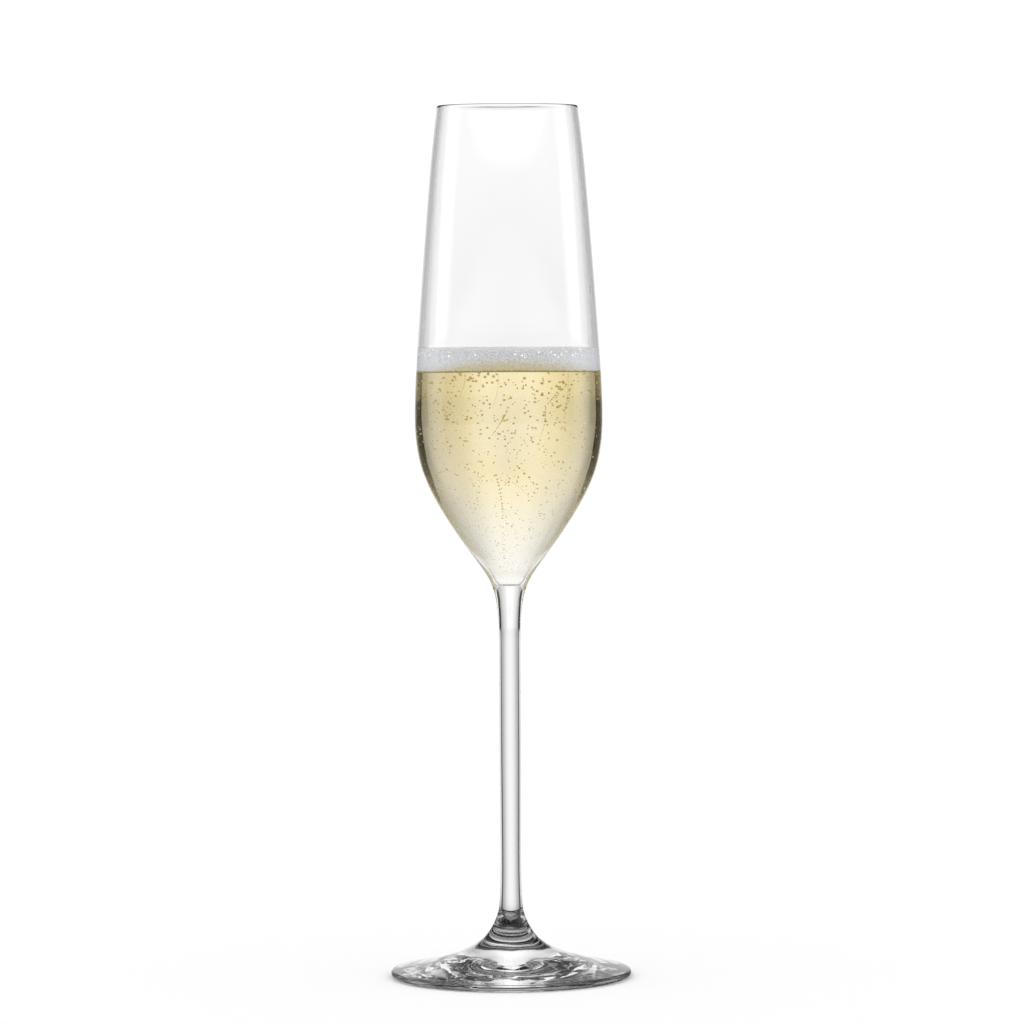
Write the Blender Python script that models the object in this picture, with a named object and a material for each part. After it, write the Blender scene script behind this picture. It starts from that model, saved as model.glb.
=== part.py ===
"""Champagne flute: a blown bowl, a drawn stem and a pressed foot, holding a pour of sparkling wine and its foam.

The frame's origin is the middle of the resting face and +Z is the axis of the glass. Sizes are in metres.
Every piece is turned: its half outline, as (radius, height) points, goes round the axis in a Screw modifier.
"""

import math

import bpy

# Driving dimensions
HEIGHT = 0.260
RIM_RADIUS = 0.0210
RIM_WALL = 0.0009
FOOT_RADIUS = 0.0360
FOOT_EDGE_THICKNESS = 0.0023
BOWL_SEAM = 0.1120  # height at which the bowl is fused to the stem
FOOT_SEAM = 0.0170  # height at which the stem is fused to the foot
BOWL_FLOOR = 0.1177  # height of the inside bottom of the bowl
WINE_TOP = 0.1813
FOAM_TOP = 0.1883
FOAM_EDGE = 0.0012  # depth of the rounding at the foam's upper edge
GAP = 0.0003  # clearance between pieces that touch

# Outside of the glass, as (height, radius) from the rim to the foot's edge. The widest place is at 0.166.
BOWL_OUTSIDE = [
    (HEIGHT, RIM_RADIUS),
    (0.2440, 0.0228),
    (0.2240, 0.0245),
    (0.2000, 0.0263),
    (0.1800, 0.0276),
    (0.1660, 0.0280),
    (0.1570, 0.0272),
    (0.1500, 0.0253),
    (0.1420, 0.0215),
    (0.1320, 0.0152),
    (0.1215, 0.0076),
    (0.1165, 0.0050),
    (BOWL_SEAM, 0.0039),
]
STEM_OUTSIDE = [
    (BOWL_SEAM, 0.0039),
    (0.1060, 0.0033),
    (0.0950, 0.0032),
    (0.0650, 0.0032),
    (0.0360, 0.00305),
    (0.0250, 0.00325),
    (0.0200, 0.0037),
    (FOOT_SEAM, 0.0047),
]
FOOT_OUTSIDE = [
    (FOOT_SEAM, 0.0047),
    (0.0141, 0.0062),
    (0.0110, 0.0088),
    (0.0083, 0.0132),
    (0.0061, 0.0190),
    (0.0044, 0.0250),
    (0.0031, 0.0310),
    (FOOT_EDGE_THICKNESS, 0.0348),
]
# Inside of the bowl, from the rim to the floor: the wall is thin at the rim and thick above the stem.
BOWL_INSIDE = [
    (HEIGHT, RIM_RADIUS - RIM_WALL),
    (0.2440, 0.0219),
    (0.2240, 0.0236),
    (0.2000, 0.0254),
    (0.1800, 0.0266),
    (0.1660, 0.0269),
    (0.1572, 0.0258),
    (0.1505, 0.0233),
    (0.1425, 0.0186),
    (0.1325, 0.0113),
    (0.1240, 0.0051),
    (0.1196, 0.0033),
    (0.1180, 0.0023),
]
# The underside stands on a narrow flat ring and is hollowed towards the middle.
REST_RING_OUTER = 0.0346
REST_RING_INNER = 0.0318
UNDERSIDE_HOLLOW = 0.0020

# Facets: round the axis, then along an outline
ROUND_STEPS = 48
STEM_STEPS = 24
CONTENT_STEPS = 40
SPAN_STEPS = 2  # for each span of an outline
LIP_STEPS = 6
FOOT_EDGE_STEPS = 8
HOLLOW_STEPS = 6
FOAM_EDGE_STEPS = 4


def clear_scene():
    for obj in list(bpy.data.objects):
        bpy.data.objects.remove(obj, do_unlink=True)


def smooth_line(points, per_span):
    """Points along a Catmull-Rom curve that runs through the given ones."""
    ends = [points[0]] + points + [points[-1]]
    line = []
    for a, b, c, d in zip(ends, ends[1:], ends[2:], ends[3:]):
        for step in range(per_span):
            t = step / per_span
            line.append(
                tuple(
                    0.5
                    * (
                        2 * q
                        + (r - p) * t
                        + (2 * p - 5 * q + 4 * r - s) * t**2
                        + (3 * q - p - 3 * r + s) * t**3
                    )
                    for p, q, r, s in zip(a, b, c, d)
                )
            )
    return line + [points[-1]]


def outline(points):
    """The smooth outline as (radius, height) points, from (height, radius) points."""
    return [(radius, height) for height, radius in smooth_line(points, SPAN_STEPS)]


def radius_at(line, height):
    """The radius of an outline that runs downwards, at a given height."""
    for (top_radius, top), (low_radius, low) in zip(line, line[1:]):
        if low <= height <= top:
            share = (height - low) / (top - low)
            return low_radius + share * (top_radius - low_radius)
    return line[-1][0]


def half_round(start, end, bulge, steps):
    """Points strictly between two ends of a half ellipse that bulges by the (radius, height) vector given."""
    points = []
    for step in range(1, steps):
        turn = math.pi * step / steps
        across = (1 - math.cos(turn)) / 2
        out = math.sin(turn)
        points.append(
            (
                start[0] + across * (end[0] - start[0]) + out * bulge[0],
                start[1] + across * (end[1] - start[1]) + out * bulge[1],
            )
        )
    return points


def glass_material(name, color, roughness, alpha=1.0):
    material = bpy.data.materials.new(name)
    material.use_nodes = True
    shader = material.node_tree.nodes["Principled BSDF"]
    shader.inputs["Base Color"].default_value = (*color, 1.0)
    shader.inputs["Roughness"].default_value = roughness
    shader.inputs["Metallic"].default_value = 0.0
    shader.inputs["Alpha"].default_value = alpha
    material.diffuse_color = (*color, alpha)
    return material


def turned(name, line, material, steps):
    """One solid of revolution: the line runs up the inside and then down the outside, axis to axis."""
    mesh = bpy.data.meshes.new(name)
    vertices = [(radius, 0.0, height) for radius, height in line]
    edges = [(index, index + 1) for index in range(len(line) - 1)]
    mesh.from_pydata(vertices, edges, [])
    mesh.materials.append(material)
    obj = bpy.data.objects.new(name, mesh)
    bpy.context.scene.collection.objects.link(obj)
    screw = obj.modifiers.new("turn", "SCREW")
    screw.axis = "Z"
    screw.angle = 2 * math.pi
    screw.steps = steps
    screw.render_steps = steps
    screw.use_merge_vertices = True
    screw.merge_threshold = 0.0001
    screw.use_smooth_shade = True
    return obj


def make_bowl(outside, inside, material):
    """The open cup: its rim is fire-polished round, and its closed end is cut flat where the stem joins."""
    rim_lift = RIM_WALL / 2
    wall_up = [point for point in reversed(inside) if point[1] < HEIGHT - rim_lift]
    wall_down = [point for point in outside if point[1] < HEIGHT - rim_lift]
    inner_lip = (RIM_RADIUS - RIM_WALL, HEIGHT - rim_lift)
    outer_lip = (RIM_RADIUS, HEIGHT - rim_lift)
    lip = half_round(inner_lip, outer_lip, (0.0, rim_lift), LIP_STEPS)
    base = outside[-1][0]
    line = [(0.0, BOWL_FLOOR)] + wall_up + [inner_lip] + lip + [outer_lip] + wall_down[:-1]
    line += [(base, BOWL_SEAM + GAP / 2), (0.0, BOWL_SEAM + GAP / 2)]
    return turned("bowl", line, material, ROUND_STEPS)


def make_stem(outside, material):
    """The drawn rod, flared at both ends, between the two fused seams."""
    top = (outside[0][0], BOWL_SEAM - GAP / 2)
    low = (outside[-1][0], FOOT_SEAM + GAP / 2)
    line = [(0.0, top[1]), top] + outside[1:-1] + [low, (0.0, low[1])]
    return turned("stem", line, material, STEM_STEPS)


def make_foot(outside, material):
    """The disc: a concave sweep up to the stem, a rounded edge, a flat resting ring and a hollow underside."""
    top = (outside[0][0], FOOT_SEAM - GAP / 2)
    edge_start = outside[-1]
    edge_end = (REST_RING_OUTER, 0.0)
    middle = (edge_start[0] + edge_end[0]) / 2
    edge = half_round(edge_start, edge_end, (FOOT_RADIUS - middle, 0.0), FOOT_EDGE_STEPS)
    hollow = []
    for step in range(1, HOLLOW_STEPS + 1):
        share = 1 - step / HOLLOW_STEPS
        height = UNDERSIDE_HOLLOW * (1 + math.cos(math.pi * share)) / 2
        hollow.append((REST_RING_INNER * share, height))
    line = [(0.0, top[1]), top] + outside[1:] + edge + [edge_end, (REST_RING_INNER, 0.0)] + hollow
    return turned("foot", line, material, ROUND_STEPS)


def make_wine(inside, material):
    """The pour: it keeps its clearance to the bowl's wall and floor, and its top is level."""
    floor = BOWL_FLOOR + 2 * GAP
    side = [
        (radius - GAP, height)
        for radius, height in inside
        if floor + GAP < height < WINE_TOP
    ]
    top_radius = radius_at(inside, WINE_TOP) - GAP
    line = [(0.0, WINE_TOP), (top_radius, WINE_TOP)] + side + [(0.0, floor)]
    return turned("wine", line, material, CONTENT_STEPS)


def make_foam(inside, material):
    """The head of foam on the wine: a disc with a softly rounded upper edge."""
    low = WINE_TOP + GAP
    low_radius = radius_at(inside, low) - GAP
    top_radius = radius_at(inside, FOAM_TOP) - GAP
    line = [(0.0, FOAM_TOP)]
    for step in range(FOAM_EDGE_STEPS + 1):
        turn = math.pi / 2 * step / FOAM_EDGE_STEPS
        radius = top_radius - 2 * FOAM_EDGE * (1 - math.sin(turn))
        line.append((radius, FOAM_TOP - FOAM_EDGE * (1 - math.cos(turn))))
    line += [(low_radius, low), (0.0, low)]
    return turned("foam", line, material, CONTENT_STEPS)


clear_scene()
bowl_outside = outline(BOWL_OUTSIDE)
bowl_inside = outline(BOWL_INSIDE)
stem_outside = outline(STEM_OUTSIDE)
foot_outside = outline(FOOT_OUTSIDE)
make_bowl(bowl_outside, bowl_inside, glass_material("bowl_glass", (0.90, 0.93, 0.94), 0.02, 0.35))
make_stem(stem_outside, glass_material("stem_glass", (0.84, 0.86, 0.88), 0.02, 0.6))
make_foot(foot_outside, glass_material("foot_glass", (0.80, 0.82, 0.84), 0.02, 0.6))
make_wine(bowl_inside, glass_material("sparkling_wine", (0.90, 0.78, 0.42), 0.03, 0.8))
make_foam(bowl_inside, glass_material("wine_foam", (0.90, 0.91, 0.89), 0.45))
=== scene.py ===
import math
import random

import bmesh
import bpy
import numpy as np
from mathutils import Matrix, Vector, noise


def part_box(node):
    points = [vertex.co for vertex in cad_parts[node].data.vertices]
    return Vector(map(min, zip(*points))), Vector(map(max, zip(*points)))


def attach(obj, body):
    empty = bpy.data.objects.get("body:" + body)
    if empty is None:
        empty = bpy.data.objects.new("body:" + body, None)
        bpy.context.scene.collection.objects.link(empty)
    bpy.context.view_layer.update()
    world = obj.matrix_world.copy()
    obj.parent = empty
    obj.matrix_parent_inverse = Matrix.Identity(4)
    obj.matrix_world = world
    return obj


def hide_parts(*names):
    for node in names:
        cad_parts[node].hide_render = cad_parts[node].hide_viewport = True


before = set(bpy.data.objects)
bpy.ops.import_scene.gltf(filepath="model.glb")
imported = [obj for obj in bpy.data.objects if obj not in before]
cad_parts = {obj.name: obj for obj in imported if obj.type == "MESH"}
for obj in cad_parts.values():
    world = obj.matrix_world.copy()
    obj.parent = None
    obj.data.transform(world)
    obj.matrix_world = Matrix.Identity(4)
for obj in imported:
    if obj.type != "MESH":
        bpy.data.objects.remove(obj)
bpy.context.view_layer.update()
print("frame loaded:", ", ".join(sorted(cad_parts)))

mm = 0.001


class Value:
    # one output socket; Python operators on it add Math nodes
    def __init__(self, mat, socket):
        self.mat = mat
        self.socket = socket

    def calc(self, operation, *terms):
        return self.mat.node("ShaderNodeMath", {"operation": operation}, dict(enumerate(terms)))

    def __add__(self, other):
        return self.calc("ADD", self, other)

    def __radd__(self, other):
        return self.calc("ADD", other, self)

    def __sub__(self, other):
        return self.calc("SUBTRACT", self, other)

    def __rsub__(self, other):
        return self.calc("SUBTRACT", other, self)

    def __mul__(self, other):
        return self.calc("MULTIPLY", self, other)

    def __rmul__(self, other):
        return self.calc("MULTIPLY", other, self)

    def __truediv__(self, other):
        return self.calc("DIVIDE", self, other)

    def __rtruediv__(self, other):
        return self.calc("DIVIDE", other, self)

    def step(self, low, high):
        # 0 at low, 1 at high, smooth between
        inputs = {"Value": self, "From Min": low, "From Max": high}
        return self.mat.node("ShaderNodeMapRange", {"interpolation_type": "SMOOTHSTEP"}, inputs)


class Finish:
    # a material whose nodes are added one at a time
    def __init__(self, name):
        self.material = bpy.data.materials.new(name)
        self.material.use_nodes = True
        self.tree = self.material.node_tree
        self.tree.nodes.clear()
        self.output = self.tree.nodes.new("ShaderNodeOutputMaterial")

    def node(self, kind, settings=None, inputs=None, out=0):
        made = self.tree.nodes.new(kind)
        for key, setting in (settings or {}).items():
            setattr(made, key, setting)
        for key, given in (inputs or {}).items():
            self.feed(made.inputs[key], given)
        return Value(self, made.outputs[out])

    def feed(self, socket, given):
        if isinstance(given, Value):
            self.tree.links.new(given.socket, socket)
        else:
            socket.default_value = given

    def mix(self, factor, first, second):
        inputs = {"Factor": factor, 6: first, 7: second}
        for key in (6, 7):
            if not isinstance(inputs[key], Value):
                inputs[key] = (*inputs[key], 1.0)
        return self.node("ShaderNodeMix", {"data_type": "RGBA"}, inputs, 2)

    def place(self):
        return self.node("ShaderNodeTexCoord", None, None, "Object")

    def noise(self, size, detail=2.0):
        inputs = {"Vector": self.place(), "Scale": 1 / size, "Detail": detail}
        return self.node("ShaderNodeTexNoise", None, inputs, "Fac")

    def cells(self, size):
        # distance to the nearest cell's middle, for cells about that size
        inputs = {"Vector": self.place(), "Scale": 1 / size}
        return self.node("ShaderNodeTexVoronoi", {"feature": "F1"}, inputs)

    def surface(self, shader):
        self.feed(self.output.inputs["Surface"], shader)

    def volume(self, shader):
        self.feed(self.output.inputs["Volume"], shader)


cameraSetup = {
    "distance": 1.500,
    "eyeHeight": 0.210,
    "aimHeight": 0.1391,
    "sideShift": 0.85 * mm,  # how far the view is aimed to the right of the axis
    "roll": -0.27,  # degrees
    "lens": 177.05,
}


def makeCamera(setup):
    data = bpy.data.cameras.new("studioCamera")
    data.lens = setup["lens"]
    data.sensor_width = 36.0
    data.clip_start = 0.05
    data.clip_end = 60.0
    camera = bpy.data.objects.new("studioCamera", data)
    bpy.context.scene.collection.objects.link(camera)
    eye = Vector((setup["sideShift"], -setup["distance"], setup["eyeHeight"]))
    aim = Vector((setup["sideShift"], 0.0, setup["aimHeight"]))
    facing = (aim - eye).to_track_quat("-Z", "Y").to_matrix().to_4x4()
    facing.translation = eye
    camera.matrix_world = facing
    camera.rotation_euler.rotate_axis("Z", math.radians(setup["roll"]))
    bpy.context.scene.camera = camera
    bpy.context.view_layer.update()
    return camera


studio = {
    "world": 1.06,
    "floorRadius": 6.0,
    "shellRadius": 1.10,
    "shellHeight": 0.13,
    "shellAround": 480,
    "shellUp": 160,
}

# How bright the studio is, by the angle aside from straight behind the glass and by the height angle, in
# degrees. The flag is a narrow black screen on each side: its middle and half its width change with height.
seenThrough = {
    "name": "studioSeenThroughGlass",
    "rays": "transmission",
    "right": [
        (0, 1.13), (5, 1.12), (8, 1.03), (12, 0.88), (18, 0.77), (24, 0.68), (28, 0.57), (32, 0.47),
        (37, 0.43), (50, 0.6), (52, 1.2), (70, 1.1), (88, 0.9), (95, 0.15), (180, 0.08),
    ],
    "left": [
        (0, 1.13), (5, 1.13), (10, 1.03), (14, 0.95), (18, 0.86), (24, 0.76), (28, 0.56), (32, 0.46),
        (37, 0.42), (50, 0.6), (52, 1.2), (70, 1.1), (88, 0.9), (95, 0.15), (180, 0.08),
    ],
    "low": [
        (0, 0.97), (5, 0.95), (11, 0.88), (15.5, 0.80), (20, 0.68), (24, 0.57), (31, 0.43), (36, 0.38),
        (50, 0.4), (53, 0.8), (70, 1.0), (88, 0.95), (180, 0.9),
    ],
    "lowBelow": [(-90, 1), (-4.6, 1), (-3.6, 0), (90, 0)],
    "upward": [
        (-90, 0.25), (-60, 0.25), (-50, 0.35), (-35, 0.55), (-25, 0.85), (-18, 1.0), (40, 1.0), (90, 0.9),
    ],
    "level": [(-90, 1), (-0.8, 1), (0.2, 0.89), (4, 0.89), (8, 1), (90, 1)],
    "levelReach": 8,
    "flagMiddle": [
        (-90, 42), (-10, 42), (-4, 43), (-3.4, 51), (0, 50), (3, 47), (11, 42.5), (20, 44), (26, 47),
        (90, 47),
    ],
    "flagHalf": [
        (-90, 5), (-10, 5), (-6.5, 3), (-4.9, 1), (-4.2, 2.5), (-3.4, 12), (0, 11.5), (3, 10.5), (11, 9),
        (20, 8), (26, 4), (34, 0.1), (90, 0.1),
    ],
    "flagEdge": 1.2,
    "flagStops": 0.96,  # the share of the light that a flag keeps back
    "overhead": [(-90, 0), (26, 0), (40, 1), (90, 1)],
}
seenInShine = {
    "name": "studioSeenInShine",
    "rays": "glossy",
    "right": [
        (0, 1.06), (12, 0.9), (20, 0.3), (30, 0.04), (60, 0.04), (70, 0.5), (92, 0.6), (97, 0.3), (180, 0.25),
    ],
    "upward": [(-90, 0.3), (-40, 0.5), (-18, 1.0), (12, 1.0), (20, 0.3), (45, 0.15), (90, 0.15)],
}
seenInShine["left"] = seenInShine["right"]


def makeWorld(strength):
    world = bpy.data.worlds.new("whiteStudio")
    world.use_nodes = True
    sky = world.node_tree.nodes["Background"]
    sky.inputs["Color"].default_value = (1, 1, 1, 1)
    sky.inputs["Strength"].default_value = strength
    bpy.context.scene.world = world
    bpy.context.scene.view_settings.view_transform = "Standard"


def seenOnlyBy(obj, *rays):
    for kind in ("camera", "diffuse", "glossy", "transmission", "volume_scatter", "shadow"):
        setattr(obj, "visible_" + kind, kind in rays)


def makeFloor(radius):
    paint = Finish("paleFloor")
    paint.surface(paint.node("ShaderNodeBsdfPrincipled", None, {
        "Base Color": (0.96, 0.96, 0.96, 1), "Roughness": 1.0, "Specular IOR Level": 0.0,
    }))
    ring = [(radius * math.cos(a), radius * math.sin(a), 0.0) for a in (math.tau * k / 64 for k in range(64))]
    mesh = bpy.data.meshes.new("floor")
    mesh.from_pydata(ring, [], [list(range(64))])
    mesh.materials.append(paint.material)
    floor = bpy.data.objects.new("floor", mesh)
    bpy.context.scene.collection.objects.link(floor)
    seenOnlyBy(floor, "camera", "diffuse", "volume_scatter", "shadow")


def between(stops, place):
    # the value at place on a line drawn through (place, value) stops
    for (low, first), (high, last) in zip(stops, stops[1:]):
        if place <= high:
            return first + (last - first) * (place - low) / (high - low)
    return stops[-1][1]


def brightness(look, turn, climb):
    # turn runs from 0 straight behind the glass to 180 on the right and to -180 on the left
    away = abs(turn)
    glow = between(look["right" if turn > 0 else "left"], away)
    if "low" in look:
        share = between(look["lowBelow"], climb)
        glow += (between(look["low"], away) - glow) * share
        glow *= 1 + (between(look["level"], climb) - 1) * max(0.0, 1 - away / look["levelReach"])
        inside = between(look["flagHalf"], climb) - abs(away - between(look["flagMiddle"], climb))
        glow *= 1 - min(1.0, max(0.0, inside / look["flagEdge"] + 0.5)) * look["flagStops"]
        glow += (1 - glow) * between(look["overhead"], climb)
    return glow * between(look["upward"], climb)


def roundSheet(name, points, rounds, shades):
    # rings of points joined into a sheet, with a shade from 0 up kept at each point
    faces = []
    for low in range(0, len(points) - rounds, rounds):
        high = low + rounds
        for k in range(rounds):
            n = (k + 1) % rounds
            faces.append((low + k, low + n, high + n, high + k))
    mesh = bpy.data.meshes.new(name)
    mesh.from_pydata(points, [], faces)
    mesh.attributes.new("shade", "FLOAT", "POINT").data.foreach_set("value", shades)
    obj = bpy.data.objects.new(name, mesh)
    bpy.context.scene.collection.objects.link(obj)
    return obj


def makeShell(look, camera):
    # a sphere of light and dark round the glass, carried by the camera like a rig on its tripod
    middle = Vector((0, 0, studio["shellHeight"]))
    points, glows = [], []
    for up in range(studio["shellUp"] + 1):
        climb = -90 + 180 * up / studio["shellUp"]
        out = math.cos(math.radians(climb))
        for around in range(studio["shellAround"]):
            turn = -180 + 360 * around / studio["shellAround"]
            aside = math.radians(turn)
            spot = Vector((math.sin(aside) * out, math.cos(aside) * out, math.sin(math.radians(climb))))
            points.append(spot * studio["shellRadius"] + middle)
            glows.append(brightness(look, turn, climb))
    shell = roundSheet(look["name"], points, studio["shellAround"], glows)
    cloth = Finish(look["name"])
    light = cloth.node("ShaderNodeAttribute", {"attribute_name": "shade"}, out="Fac")
    cloth.surface(cloth.node("ShaderNodeBsdfPrincipled", None, {
        "Base Color": (0, 0, 0, 1), "Roughness": 1.0, "Specular IOR Level": 0.0,
        "Emission Color": light, "Emission Strength": 1.0,
    }))
    shell.data.materials.append(cloth.material)
    seenOnlyBy(shell, look["rays"])
    shell.parent = camera
    shell.matrix_parent_inverse = camera.matrix_world.inverted()


# painted shade for the foot: a sheet close round the foot, seen only by rays through the glass
footShadeLook = {
    "above": [(0, 0.30), (50, 0.34), (66, 0.55), (80, 0.85), (180, 0.9)],  # by the angle aside from the back
    "below": [  # by the radius
        (0, 0.03), (7.5, 0.04), (9, 0.5), (14, 0.6), (22, 0.75), (28, 0.9), (34, 0.8), (36.5, 0.5),
    ],
    "profile": [
        (0.4, -0.8), (36.2, -0.8), (37.6, 0.4), (37.8, 2.2), (36.5, 4.0), (31.0, 4.9), (25.0, 6.2),
        (19.0, 8.0), (13.5, 10.2), (9.2, 13.0), (6.6, 16.0), (5.4, 19.0),
    ],
    "clearAbove": 7.5,
    "streak": 2.6,  # millimetres across one streak
    "turn": 22,  # degrees along one
    "contrast": 5,
    "dark": 0.03,
    "spacing": 0.8,
    "rounds": 360,
}


def footShadeTint(look, radius, height, turn):
    # streaks of painted shade, dark and clear, drawn out round the axis
    if height > look["clearAbove"]:
        return 1.0
    tint = between(look["below"], radius) if height < 0 else between(look["above"], abs(turn))
    if tint < 0.05:
        return tint
    angle = math.radians(turn)
    length = math.degrees(1) / look["turn"]
    layer = 9 if height < 0 else 0
    spot = Vector((math.cos(angle) * length, math.sin(angle) * length, radius / look["streak"] + layer))
    clear = min(1.0, max(0.0, noise.noise(spot) * look["contrast"] + tint * 1.6 - 0.3))
    return look["dark"] + (1 - look["dark"]) * clear


def makeFootShade(look):
    # painted shade: a grey streaky sheet that only takes light from what is seen through the foot, so that
    # dark streaks show in the foot
    rings = [Vector(look["profile"][0])]
    for first, last in zip(look["profile"], look["profile"][1:]):
        steps = max(1, round(math.dist(first, last) / look["spacing"]))
        rings += [Vector(first).lerp(Vector(last), k / steps) for k in range(1, steps + 1)]
    points, tints = [], []
    for radius, height in rings:
        for k in range(look["rounds"]):
            turn = -180 + 360 * k / look["rounds"]
            aside = math.radians(turn)
            points.append((radius * mm * math.sin(aside), radius * mm * math.cos(aside), height * mm))
            tints.append(footShadeTint(look, radius, height, turn))
    sheet = roundSheet("footPaintedShade", points, look["rounds"], tints)
    cloth = Finish("footPaintedShade")
    tint = cloth.node("ShaderNodeAttribute", {"attribute_name": "shade"}, out="Fac")
    dark = cloth.node("ShaderNodeBsdfTransparent", None, {"Color": (0, 0, 0, 1)})
    clear = cloth.node("ShaderNodeBsdfTransparent", None, {"Color": (1, 1, 1, 1)})
    cloth.surface(cloth.node("ShaderNodeMixShader", None, {0: tint, 1: dark, 2: clear}))
    sheet.data.materials.append(cloth.material)
    seenOnlyBy(sheet, "transmission")


camera = makeCamera(cameraSetup)
makeWorld(studio["world"])
makeFloor(studio["floorRadius"])
makeShell(seenThrough, camera)
makeShell(seenInShine, camera)
makeFootShade(footShadeLook)
print("studio ready")


def cadOutline(node):
    # the (radius, height) points of a turned solid, in order along its outline
    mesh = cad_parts[node].data
    rings, ringOf = [], []
    for vertex in mesh.vertices:
        x, y, z = vertex.co
        spot = (math.hypot(x, y), z)
        known = [ring for ring in rings if math.dist(ring, spot) < 0.02 * mm]
        if not known:
            rings.append(spot)
        ringOf.append(known[0] if known else spot)
    near = {}
    for edge in mesh.edges:
        a, b = (ringOf[i] for i in edge.vertices)
        if a != b:
            near.setdefault(a, set()).add(b)
            near.setdefault(b, set()).add(a)
    start = max((ring for ring in near if len(near[ring]) == 1), key=lambda ring: ring[1])
    line = [start]
    while True:
        onward = [ring for ring in near[line[-1]] if ring not in line[-2:]]
        if not onward:
            break
        line.append(onward[0])
    if line[0][0] > 0.1 * mm:  # a flat end may have lost its middle point
        line.insert(0, (0.0, line[0][1]))
    if line[-1][0] > 0.1 * mm:
        line.append((0.0, line[-1][1]))
    return line


def smoothed(line, spacing):
    # a finer line through the same points; a turn of over 50 degrees stays a corner
    corners = [0]
    for k in range(1, len(line) - 1):
        before = Vector(line[k]) - Vector(line[k - 1])
        after = Vector(line[k + 1]) - Vector(line[k])
        if before.angle(after) > math.radians(50):
            corners.append(k)
    corners.append(len(line) - 1)
    fine = [Vector(line[0])]
    for first, last in zip(corners, corners[1:]):
        fine += hermite([Vector(p) for p in line[first:last + 1]], spacing)
    return fine


def hermite(points, spacing):
    lengths = [(b - a).length for a, b in zip(points, points[1:])]
    slopes = [(b - a) / h for a, b, h in zip(points, points[1:], lengths)]
    tangents = [slopes[0]]
    for k in range(1, len(slopes)):
        tangents.append((points[k + 1] - points[k - 1]) / (lengths[k] + lengths[k - 1]))
    tangents.append(slopes[-1])
    fine = []
    for k, h in enumerate(lengths):
        steps = max(1, math.ceil(h / spacing))
        for step in range(1, steps + 1):
            t = step / steps
            fine.append(
                points[k] * (2 * t**3 - 3 * t**2 + 1)
                + tangents[k] * h * (t**3 - 2 * t**2 + t)
                + points[k + 1] * (3 * t**2 - 2 * t**3)
                + tangents[k + 1] * h * (t**3 - t**2)
            )
    return fine


def area2(line):
    return sum(a[0] * b[1] - b[0] * a[1] for a, b in zip(line, line[1:] + line[:1]))


def turned(name, line, rounds, shape=None):
    # a closed surface of revolution; shape may move each of its points
    line = [tuple(point) for point in line]
    if area2(line) < 0:
        line.reverse()
    points, rings = [], []
    for radius, height in line:
        count = 1 if radius < 1e-6 else rounds
        rings.append((len(points), count))
        for k in range(count):
            turn = math.tau * k / rounds
            spot = Vector((radius * math.cos(turn), radius * math.sin(turn), height))
            points.append(shape(spot) if shape else spot)
    faces = []
    for (a, countA), (b, countB) in zip(rings, rings[1:]):
        for k in range(rounds):
            n = (k + 1) % rounds
            if countA == 1:
                faces.append((a, b + n, b + k))
            elif countB == 1:
                faces.append((a + k, a + n, b))
            else:
                faces.append((a + k, a + n, b + n, b + k))
    mesh = bpy.data.meshes.new(name)
    mesh.from_pydata(points, [], faces)
    mesh.shade_smooth()
    mesh.set_sharp_from_angle(angle=math.radians(40))
    obj = bpy.data.objects.new(name, mesh)
    bpy.context.scene.collection.objects.link(obj)
    return obj


seams = {
    "bowl": (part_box("bowl")[0].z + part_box("stem")[1].z) / 2,
    "foot": (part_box("stem")[0].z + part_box("foot")[1].z) / 2,
}
glassLook = {
    "rounds": 288,
    "spacing": 0.6 * mm,
    "index": 1.52,
    "draw": 9 * mm,  # length of the faint waves left by working the hot glass
    "drawDepth": 0.0008 * mm,
}


def glassFinish(name, look, depth):
    glass = Finish(name)
    waves = glass.node("ShaderNodeBump", None, {
        "Height": glass.noise(look["draw"], 1.0), "Distance": depth, "Strength": 1.0,
    })
    glass.surface(glass.node("ShaderNodeBsdfPrincipled", None, {
        "Base Color": (1, 1, 1, 1), "Roughness": 0.0, "IOR": look["index"], "Transmission Weight": 1.0,
        "Normal": waves,
    }))
    return glass.material


def seamFinish():
    # the fused faces let light straight through, so that the glass is one
    seam = Finish("fusedSeam")
    seam.surface(seam.node("ShaderNodeBsdfTransparent", None, {"Color": (1, 1, 1, 1)}))
    return seam.material


def atSeams(line):
    # both sides of a fused seam meet at one height
    moved = []
    for radius, height in line:
        for seam in seams.values():
            if abs(height - seam) < 0.3 * mm:
                height = seam
        moved.append((radius, height))
    return moved


def glassPiece(name, node, depth, shape=None):
    line = smoothed(atSeams(cadOutline(node)), glassLook["spacing"])
    piece = turned(name, line, glassLook["rounds"], shape)
    piece.data.materials.append(glassFinish(name + "Finish", glassLook, depth))
    piece.data.materials.append(seamFinish())
    for face in piece.data.polygons:
        heights = [piece.data.vertices[i].co.z for i in face.vertices]
        for seam in seams.values():
            if all(abs(z - seam) < 0.01 * mm for z in heights):
                face.material_index = 1
    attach(piece, "root")
    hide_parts(node)
    return piece


footLook = {
    "ripple": 0.10 * mm,
    "across": 8 * mm,
    "lean": 0.06 * mm,
    "lowest": 2.2 * mm,  # the edge and the underside below this height stay true
    "innerRadius": 5 * mm,
    "innerFade": 6 * mm,
    "outerRadius": 34.5 * mm,
    "outerFade": 4 * mm,
}


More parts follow.
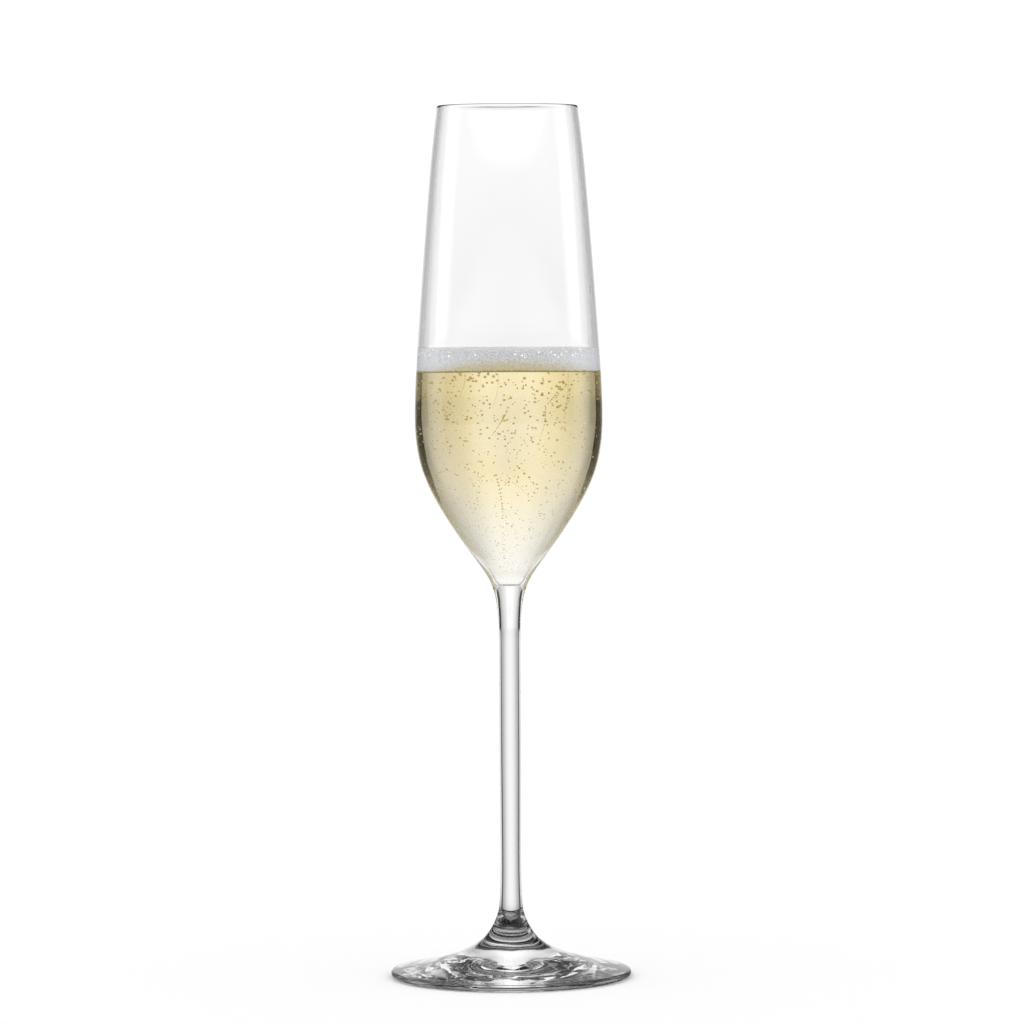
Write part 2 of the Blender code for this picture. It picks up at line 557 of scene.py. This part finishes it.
def footShape(spot):
    # pressed glass is never quite true: its top rolls a little, most between the middle and the edge
    radius = math.hypot(spot.x, spot.y)
    if spot.z < footLook["lowest"] or radius < footLook["innerRadius"]:
        return spot
    turn = math.atan2(spot.y, spot.x)
    share = min(1.0, (radius - footLook["innerRadius"]) / footLook["innerFade"])
    share *= min(1.0, max(0.0, (footLook["outerRadius"] - radius) / footLook["outerFade"]))
    flat = Vector((spot.x, spot.y, 0)) / footLook["across"]
    roll = noise.noise(flat + Vector((3.1, 7.7, 0.4)))
    roll += 0.5 * noise.noise(flat / 0.45 + Vector((1.3, 2.2, 5.1)))
    swing = math.sin(2 * turn + 0.8) + 0.6 * math.sin(3 * turn + 2.1)
    return spot + Vector((0, 0, share * (footLook["ripple"] * roll + footLook["lean"] * swing)))


bowl = glassPiece("bowlGlass", "bowl", glassLook["drawDepth"])
stem = glassPiece("stemGlass", "stem", glassLook["drawDepth"])
foot = glassPiece("footGlass", "foot", glassLook["drawDepth"], footShape)
print("glass turned")


def innerWall():
    # the inside of the bowl as (radius, height), from its floor up
    line = smoothed(cadOutline("bowl"), 0.5 * mm)
    if line[0][1] < line[-1][1]:
        line.reverse()
    top = max(range(len(line)), key=lambda k: line[k][1])
    return line[:top]


def grown(wall, by):
    # the same line moved outwards, with its end on the axis
    side = []
    for a, b, c in zip(wall, wall[1:], wall[2:]):
        along = (c - a).normalized()
        side.append(b + Vector((along[1], -along[0])) * by)
    return [Vector((0.0, wall[0][1] - by))] + side


def radiusAt(side, height):
    for a, b in zip(side, side[1:]):
        if a[1] <= height <= b[1]:
            return a[0] + (b[0] - a[0]) * (height - a[1]) / (b[1] - a[1])
    return side[-1][0]


wall = innerWall()
wineSide = grown(wall, 0.05 * mm)
foamSide = grown(wall, 0.08 * mm)
wineFloor = wineSide[0][1]
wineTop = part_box("wine")[1].z
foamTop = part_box("foam")[1].z
wallRadius = radiusAt(foamSide, foamTop)
dip = 0.5 * mm  # how much lower the foam reaches down the wall at the sides than at the front

wineLook = {
    "index": 1.27,
    "absorbs": (0.94, 0.81, 0.36),
    "density": 12.0,
    "tintFloor": (1.0, 1.0, 1.0),
    "tintTop": (1.0, 0.96, 0.82),
    "tintAside": (1.0, 0.905, 0.63),
    "asideFrom": (0.008, 0.05),  # how far the surface has turned away where the aside tint comes in
    "asideTo": (0.11, 0.18),  # and where it goes out again
    "asideAbove": (0.130, 0.152),  # and the heights over which it comes in
    "rounds": 192,
}


def wineFinish(look):
    # the colour deepens upwards, where the pour is wide, and where the wall curves away
    wine = Finish("paleGoldWine")
    height = wine.node("ShaderNodeSeparateXYZ", None, {0: wine.place()}, "Z")
    aside = wine.node("ShaderNodeLayerWeight", None, {"Blend": 0.5}, "Facing")
    leaning = aside.step(*look["asideFrom"]) * (1 - aside.step(*look["asideTo"]))
    deeper = leaning * height.step(*look["asideAbove"])
    top = wine.mix(deeper, look["tintTop"], look["tintAside"])
    tint = wine.mix(height.step(wineFloor + 3 * mm, wineTop - 4 * mm), look["tintFloor"], top)
    wine.surface(wine.node("ShaderNodeBsdfPrincipled", None, {
        "Base Color": tint, "Roughness": 0.0, "IOR": look["index"], "Transmission Weight": 1.0,
    }))
    wine.volume(wine.node("ShaderNodeVolumeAbsorption", None, {
        "Color": (*look["absorbs"], 1), "Density": look["density"],
    }))
    return wine.material


wineLine = [tuple(p) for p in wineSide if p[1] < wineTop]
wineLine += [(radiusAt(wineSide, wineTop), wineTop), (0.0, wineTop)]
wine = turned("winePour", wineLine, wineLook["rounds"])
wine.data.materials.append(wineFinish(wineLook))
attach(wine, "root")
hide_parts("wine")

foamLook = {
    "cell": 0.8 * mm,  # size of the froth's larger bubbles
    "grain": 0.26 * mm,  # size of its finest ones
    "relief": 0.2 * mm,
    "froth": (0.70, 0.71, 0.725),
    "shade": (0.38, 0.39, 0.405),
    "olive": (0.50, 0.43, 0.21),
    "bead": (0.22, 0.16, 0.04),
    # colour of the painted shade along the far edge
    "edge": (0.36, 0.37, 0.38),
    "glint": (1.5, 1.5, 1.5),
    # strength of the foam's painted glow
    "glow": 0.69,
    "goldHeight": 3.5 * mm,
    "goldBlur": (-2.6 * mm, 1.5 * mm),
    "goldWave": 1.4 * mm,
    "goldWaveSize": 1.2 * mm,
    "beadSize": 0.55 * mm,
    "beadHeight": 0.3 * mm,
    "glintSpacing": 1.15 * mm,
    "glintHeight": (3.6 * mm, 4.9 * mm),
    "farShadeHeight": (4.9 * mm, 5.2 * mm),  # the painted shade of the far edge starts here
    "farShadeDepth": (1 * mm, 8 * mm),  # this far behind the axis
    "under": (0.66, 0.70, 0.80),
    "underPale": (0.78, 0.82, 0.92),
    "underGlow": 0.7,
    "lean": 0.2 * mm,  # how far the top falls from the front to the back
    "bow": 1.2 * mm,  # how far it falls from the middle
    "swell": 0.16 * mm,
    "swellSize": 7 * mm,
    "lower": 0.1 * mm,  # kept free under the top of the CAD's foam
    "steps": 64,
    "rounds": 360,
}


def foamFinish(look):
    foam = Finish("wetFoam")
    across, depth, height = (
        foam.node("ShaderNodeSeparateXYZ", None, {0: foam.place()}, axis) for axis in ("X", "Y", "Z")
    )
    aside = across * across / wallRadius**2  # 0 at the front and the back, 1 at the sides
    above = height - wineTop + dip * aside
    fine = foam.noise(look["grain"], 1.0)
    cells = foam.cells(look["cell"] * 0.6)
    dark = fine.step(0.36, 0.68) * 0.8 + cells.step(0.3, 0.8) * 0.2
    # painted light: the dark grain fades towards the sides, so the sides of the head read paler
    froth = foam.mix(dark * (1 - 0.45 * aside), look["froth"], look["shade"])
    # a golden olive band low in the head: partly the wine held in the wet froth, partly painted light from
    # the wine below; it stands higher at the front and the back than at the sides
    wave = foam.noise(look["goldWaveSize"], 2.0) - 0.5
    goldTop = look["goldHeight"] * (1 - aside) + wave * look["goldWave"]
    golden = (1 - (above - goldTop).step(*look["goldBlur"])) * (0.6 + 0.4 * fine.step(0.35, 0.6))
    mixed = foam.mix(golden, froth, look["olive"])
    beads = 1 - (above - foam.cells(look["beadSize"]) * look["beadSize"]).step(0.0, look["beadHeight"])
    mixed = foam.mix(beads * 0.8, mixed, look["bead"])
    # painted highlights: bright glints on the froth's bubbles, in the upper part of the head
    paintedGlints = (1 - foam.cells(look["glintSpacing"]).step(0.14, 0.24)) * above.step(*look["glintHeight"])
    mixed = foam.mix(paintedGlints, mixed, look["glint"])
    # painted shade: near the top, the far side behind the axis is painted a darker grey, as the dark line of
    # the far edge
    farEdgeShade = above.step(*look["farShadeHeight"]) * depth.step(*look["farShadeDepth"])
    color = foam.mix(farEdgeShade, mixed, look["edge"])
    relief = foam.node("ShaderNodeBump", None, {"Height": 1 - cells, "Distance": 0.12 * mm, "Strength": 0.6})
    # painted light: the foam glows with its own colour, in place of the light that the froth scatters
    foam.surface(foam.node("ShaderNodeBsdfPrincipled", None, {
        "Base Color": color, "Roughness": 0.32, "Specular IOR Level": 0.0, "Normal": relief,
        "Emission Color": color, "Emission Strength": look["glow"],
    }))
    return foam.material


def undersideFinish(look):
    # the face on the wine, bright with painted light: it glows by emission in place of the light that the
    # foam gathers
    pale = Finish("foamUnderside")
    froth = pale.mix(pale.noise(1.5 * mm).step(0.3, 0.7), look["under"], look["underPale"])
    pale.surface(pale.node("ShaderNodeBsdfPrincipled", None, {
        "Base Color": froth, "Roughness": 0.6,
        "Emission Color": froth, "Emission Strength": look["underGlow"],
    }))
    return pale.material


def foamShape(spot):
    # the head rises and falls round the glass, and its top is knobbly with bubbles
    radius = math.hypot(spot.x, spot.y)
    lift = (spot.z - wineTop) / (foamTop - wineTop)
    side = spot.x / wallRadius
    back = spot.y / wallRadius
    top = -foamLook["lean"] * back - foamLook["bow"] * back * back
    top += foamLook["swell"] * noise.noise(spot / foamLook["swellSize"] + Vector((0.3, 4.4, 2.0)))
    if lift > 0.98 and radius < wallRadius + 0.01 * mm:
        near = noise.voronoi(Vector((spot.x, spot.y, 0)) / foamLook["cell"])[0][0]
        top += foamLook["relief"] * (math.sqrt(max(0.0, 1 - near * near)) - 1)
    return spot + Vector((0, 0, lift * (top - foamLook["lower"]) - (1 - lift) * dip * side * side))


rise = foamTop - wineTop
foamLine = [(radiusAt(foamSide, wineTop) * k / 40, wineTop) for k in range(40)]
foamLine += [(radiusAt(foamSide, wineTop + rise * k / 20), wineTop + rise * k / 20) for k in range(21)]
foamLine += [(wallRadius * (1 - k / foamLook["steps"]), foamTop) for k in range(1, foamLook["steps"] + 1)]
foam = turned("foamHead", foamLine, foamLook["rounds"], foamShape)
foam.data.materials.append(foamFinish(foamLook))
foam.data.materials.append(undersideFinish(foamLook))
for face in foam.data.polygons:
    if face.normal.z < -0.9:
        face.material_index = 1
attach(foam, "root")
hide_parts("foam")
print("wine and foam poured")

fizz = {
    "seed": 11,
    "loose": 820,
    "streams": 12,
    "clinging": 110,
    "smallest": 0.12 * mm,  # radius near the bowl's floor
    "largest": 0.44 * mm,  # radius near the top
    "tint": (0.94, 0.89, 0.68),
    "shade": (0.86, 0.79, 0.50),
    # the rising bubbles' painted glow
    "glow": (0.52, 0.44, 0.19),
    "glowShare": 0.3,
    "apart": 0.03 * mm,
    "pairShare": 0.25,  # of the loose bubbles, those that go up with a smaller one
    "balls": 2,  # subdivisions
    "wallTint": (1, 0.98, 0.9),  # of the bubbles held on the wall
    "wallShade": (0.9, 0.85, 0.7),
    "wallGlow": 0.6,
}

# Trains of bubbles that rise one behind the other: where each starts and ends, in millimetres, as (aside,
# towards the back, height).
trains = [
    {"from": (-4.0, -9.0, 170.5), "to": (-2.6, -10.0, 180.5), "count": 24, "radius": 0.10},
    {"from": (-4.2, -12.0, 163.0), "to": (0.2, -13.0, 171.5), "count": 17, "radius": 0.20},
    {"from": (8.0, -8.0, 162.0), "to": (9.4, -9.0, 171.0), "count": 15, "radius": 0.16},
    {"from": (9.4, -9.0, 171.0), "to": (13.2, -8.0, 176.5), "count": 9, "radius": 0.26},
    {"from": (13.6, -6.0, 166.0), "to": (15.2, -7.0, 180.5), "count": 30, "radius": 0.11},
    {"from": (-12.6, -8.0, 173.5), "to": (-11.0, -8.0, 180.6), "count": 12, "radius": 0.14},
    {"from": (6.2, -4.0, 143.5), "to": (1.0, -3.0, 150.0), "count": 16, "radius": 0.09},
    {"from": (-1.6, -5.0, 139.5), "to": (-3.4, -6.0, 152.5), "count": 14, "radius": 0.20},
]


def bubbleFinish(look):
    bubble = Finish("gasBubble")
    pale, deep = (
        bubble.node("ShaderNodeBsdfGlass", None, {
            "Color": (*look[key], 1), "Roughness": 0.0, "IOR": 1 / wineLook["index"],
        }) for key in ("tint", "shade")
    )
    share = bubble.noise(2 * mm).step(0.35, 0.65)
    clear = bubble.node("ShaderNodeMixShader", None, {0: share, 1: pale, 2: deep})
    # painted light: a share of each rising bubble glows ochre, though a bubble gives no light
    lit = bubble.node("ShaderNodeEmission", None, {"Color": (*look["glow"], 1), "Strength": 1.0})
    bubble.surface(bubble.node("ShaderNodeMixShader", None, {0: look["glowShare"], 1: clear, 2: lit}))
    return bubble.material


def manySpheres(name, spots, detail):
    # one mesh of many small balls, from (centre, radius) pairs
    ball = bmesh.new()
    bmesh.ops.create_icosphere(ball, subdivisions=detail, radius=1.0)
    shape = np.array([vertex.co[:] for vertex in ball.verts])
    corners = np.array([[vertex.index for vertex in face.verts] for face in ball.faces])
    ball.free()
    points = np.concatenate([np.array(centre) + shape * radius for centre, radius in spots])
    faces = np.concatenate([corners + len(shape) * k for k in range(len(spots))])
    mesh = bpy.data.meshes.new(name)
    mesh.from_pydata(points.tolist(), [], faces.tolist())
    mesh.shade_smooth()
    obj = bpy.data.objects.new(name, mesh)
    bpy.context.scene.collection.objects.link(obj)
    return obj


def placed(reach, turn, height):
    return Vector((reach * math.cos(turn), reach * math.sin(turn), height))


def fizzSpots(look):
    rng = random.Random(look["seed"])
    low = wineFloor + 2.5 * mm
    high = wineTop - 0.8 * mm
    spots = []

    def add(place, size):
        reach = radiusAt(wineSide, place.z) * 0.94 - size
        clear = all((place - other).length > size + radius + look["apart"] for other, radius in spots)
        if math.hypot(place.x, place.y) < reach and low < place.z < high and clear:
            spots.append((place, size))

    def sized(height):
        share = ((height - low) / (high - low)) ** 1.3
        return (look["smallest"] + (look["largest"] - look["smallest"]) * share) * rng.uniform(0.5, 1.0)

    for train in trains:
        first, last = Vector(train["from"]) * mm, Vector(train["to"]) * mm
        for k in range(train["count"]):
            share = (k + rng.uniform(-0.2, 0.2)) / train["count"]
            bow = math.sin(math.pi * share) * 0.5 * mm
            add(first.lerp(last, share) + Vector((bow, 0, 0)), train["radius"] * mm * (0.8 + 0.5 * share))
    while len(spots) < look["loose"]:
        height = low + (high - low) * rng.random() ** 0.75
        reach = radiusAt(wineSide, height) * math.sqrt(rng.random())
        turn = rng.uniform(0, math.tau)
        add(placed(reach, turn, height), sized(height))
        if rng.random() < look["pairShare"] and spots:
            place, size = spots[-1]
            shift = Vector((rng.uniform(-1, 1), rng.uniform(-1, 1), rng.uniform(0.4, 1.4))) * mm
            add(place + shift, size * 0.8)
    for _ in range(look["streams"]):
        height = low + (high - low) * rng.random() ** 1.3 * 0.8
        reach = radiusAt(wineSide, height) * rng.uniform(0.1, 0.85)
        turn = rng.uniform(0, math.tau)
        place = placed(reach, turn, height)
        lean = rng.uniform(-0.25, 0.25)
        gap = 0.9 * mm
        for _ in range(rng.randint(5, 12)):
            add(place.copy(), sized(place.z) * 0.7)
            gap *= 1.12
            place += Vector((gap * lean + rng.gauss(0, 0.15 * mm), rng.gauss(0, 0.2 * mm), gap))
            lean += rng.gauss(0, 0.1)
    return spots


def clingingSpots(look):
    # tiny bubbles held on the wall
    rng = random.Random(look["seed"] + 1)
    spots = []
    for _ in range(look["clinging"]):
        height = rng.uniform(wineFloor + 14 * mm, wineTop - 1.5 * mm)
        turn = rng.uniform(0, math.tau)
        size = rng.uniform(0.11, 0.2) * mm
        reach = radiusAt(wineSide, height) - size - 0.12 * mm
        spots.append((placed(reach, turn, height), size))
    return spots


def brightBubbleFinish(look):
    bubble = Finish("brightBubble")
    shade = bubble.mix(bubble.noise(1 * mm).step(0.35, 0.65), look["wallTint"], look["wallShade"])
    # painted light: the wall bubbles glow, so that they show as bright dots
    bubble.surface(bubble.node("ShaderNodeBsdfPrincipled", None, {
        "Base Color": shade, "Roughness": 0.15,
        "Emission Color": shade, "Emission Strength": look["wallGlow"],
    }))
    return bubble.material


for name, spots, finish in (
    ("risingBubbles", fizzSpots(fizz), bubbleFinish(fizz)),
    ("clingingBubbles", clingingSpots(fizz), brightBubbleFinish(fizz)),
):
    bubbles = manySpheres(name, spots, fizz["balls"])
    bubbles.data.materials.append(finish)
    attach(bubbles, "root")
    print(name, len(spots))

scene = bpy.context.scene
scene.cycles.use_denoising = True
scene.cycles.max_bounces = 28
scene.cycles.transmission_bounces = 28
scene.cycles.glossy_bounces = 12
scene.cycles.transparent_max_bounces = 32
